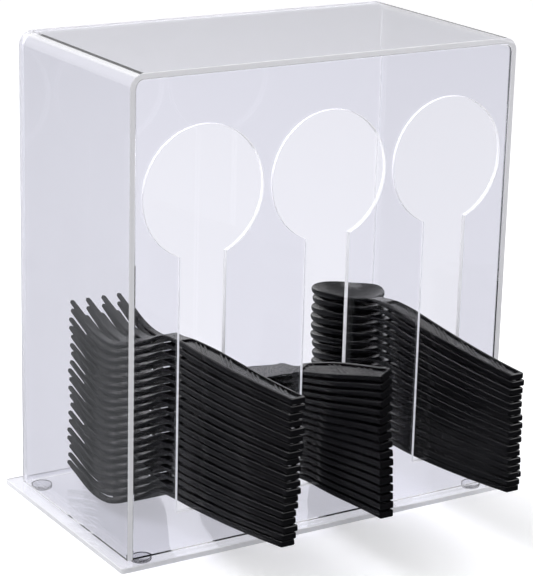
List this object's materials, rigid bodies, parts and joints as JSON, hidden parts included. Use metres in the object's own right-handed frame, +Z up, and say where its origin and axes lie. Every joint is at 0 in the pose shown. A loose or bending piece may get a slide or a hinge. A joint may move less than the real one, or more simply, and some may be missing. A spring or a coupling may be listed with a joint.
{
  "type": "cutlery dispenser",
  "caption": "Clear acrylic countertop cutlery dispenser with keyhole windows over slots, holding stacked black plastic forks, knives and spoons that lift out.",
  "frame": {"origin": "middle of the whole outline seen from above, on the plane that the feet stand on", "axes": "+X to the viewer's right along the front panel, +Y from the front panel to the back, +Z up"},
  "size_m": [0.206, 0.1854, 0.2157],
  "materials": {
    "clear_acrylic": "clear polished sheet",
    "clear_bumper": "soft clear",
    "black_plastic": "glossy moulded black"
  },
  "bodies": {
    "dispenser": {"case_wrap": "clear_acrylic", "front_panel": "clear_acrylic", "back_panel": "clear_acrylic", "base_plate": "clear_acrylic", "bumper_feet": "clear_bumper", "fork_01": "black_plastic", "fork_02": "black_plastic", "fork_03": "black_plastic", "fork_04": "black_plastic", "fork_05": "black_plastic", "fork_06": "black_plastic", "fork_07": "black_plastic", "fork_08": "black_plastic", "fork_09": "black_plastic", "fork_10": "black_plastic", "fork_11": "black_plastic", "fork_12": "black_plastic", "fork_13": "black_plastic", "fork_14": "black_plastic", "fork_15": "black_plastic", "fork_16": "black_plastic", "fork_17": "black_plastic", "fork_18": "black_plastic", "fork_19": "black_plastic", "knife_01": "black_plastic", "knife_02": "black_plastic", "knife_03": "black_plastic", "knife_04": "black_plastic", "knife_05": "black_plastic", "knife_06": "black_plastic", "knife_07": "black_plastic", "knife_08": "black_plastic", "knife_09": "black_plastic", "knife_10": "black_plastic", "knife_11": "black_plastic", "knife_12": "black_plastic", "knife_13": "black_plastic", "knife_14": "black_plastic", "knife_15": "black_plastic", "knife_16": "black_plastic", "spoon_01": "black_plastic", "spoon_02": "black_plastic", "spoon_03": "black_plastic", "spoon_04": "black_plastic", "spoon_05": "black_plastic", "spoon_06": "black_plastic", "spoon_07": "black_plastic", "spoon_08": "black_plastic", "spoon_09": "black_plastic", "spoon_10": "black_plastic", "spoon_11": "black_plastic", "spoon_12": "black_plastic", "spoon_13": "black_plastic", "spoon_14": "black_plastic", "spoon_15": "black_plastic", "spoon_16": "black_plastic"},
    "top_fork": {"fork_20": "black_plastic"},
    "top_knife": {"knife_17": "black_plastic"},
    "top_spoon": {"spoon_17": "black_plastic"}
  },
  "joints": [
    {"name": "top_fork_lift", "type": "slide", "parent": "dispenser", "child": "top_fork", "axis": [0, 0, 1], "range_m": [0, 0.094]},
    {"name": "top_knife_lift", "type": "slide", "parent": "dispenser", "child": "top_knife", "axis": [0, 0, 1], "range_m": [0, 0.11]},
    {"name": "top_spoon_lift", "type": "slide", "parent": "dispenser", "child": "top_spoon", "axis": [0, 0, 1], "range_m": [0, 0.104]}
  ]
}
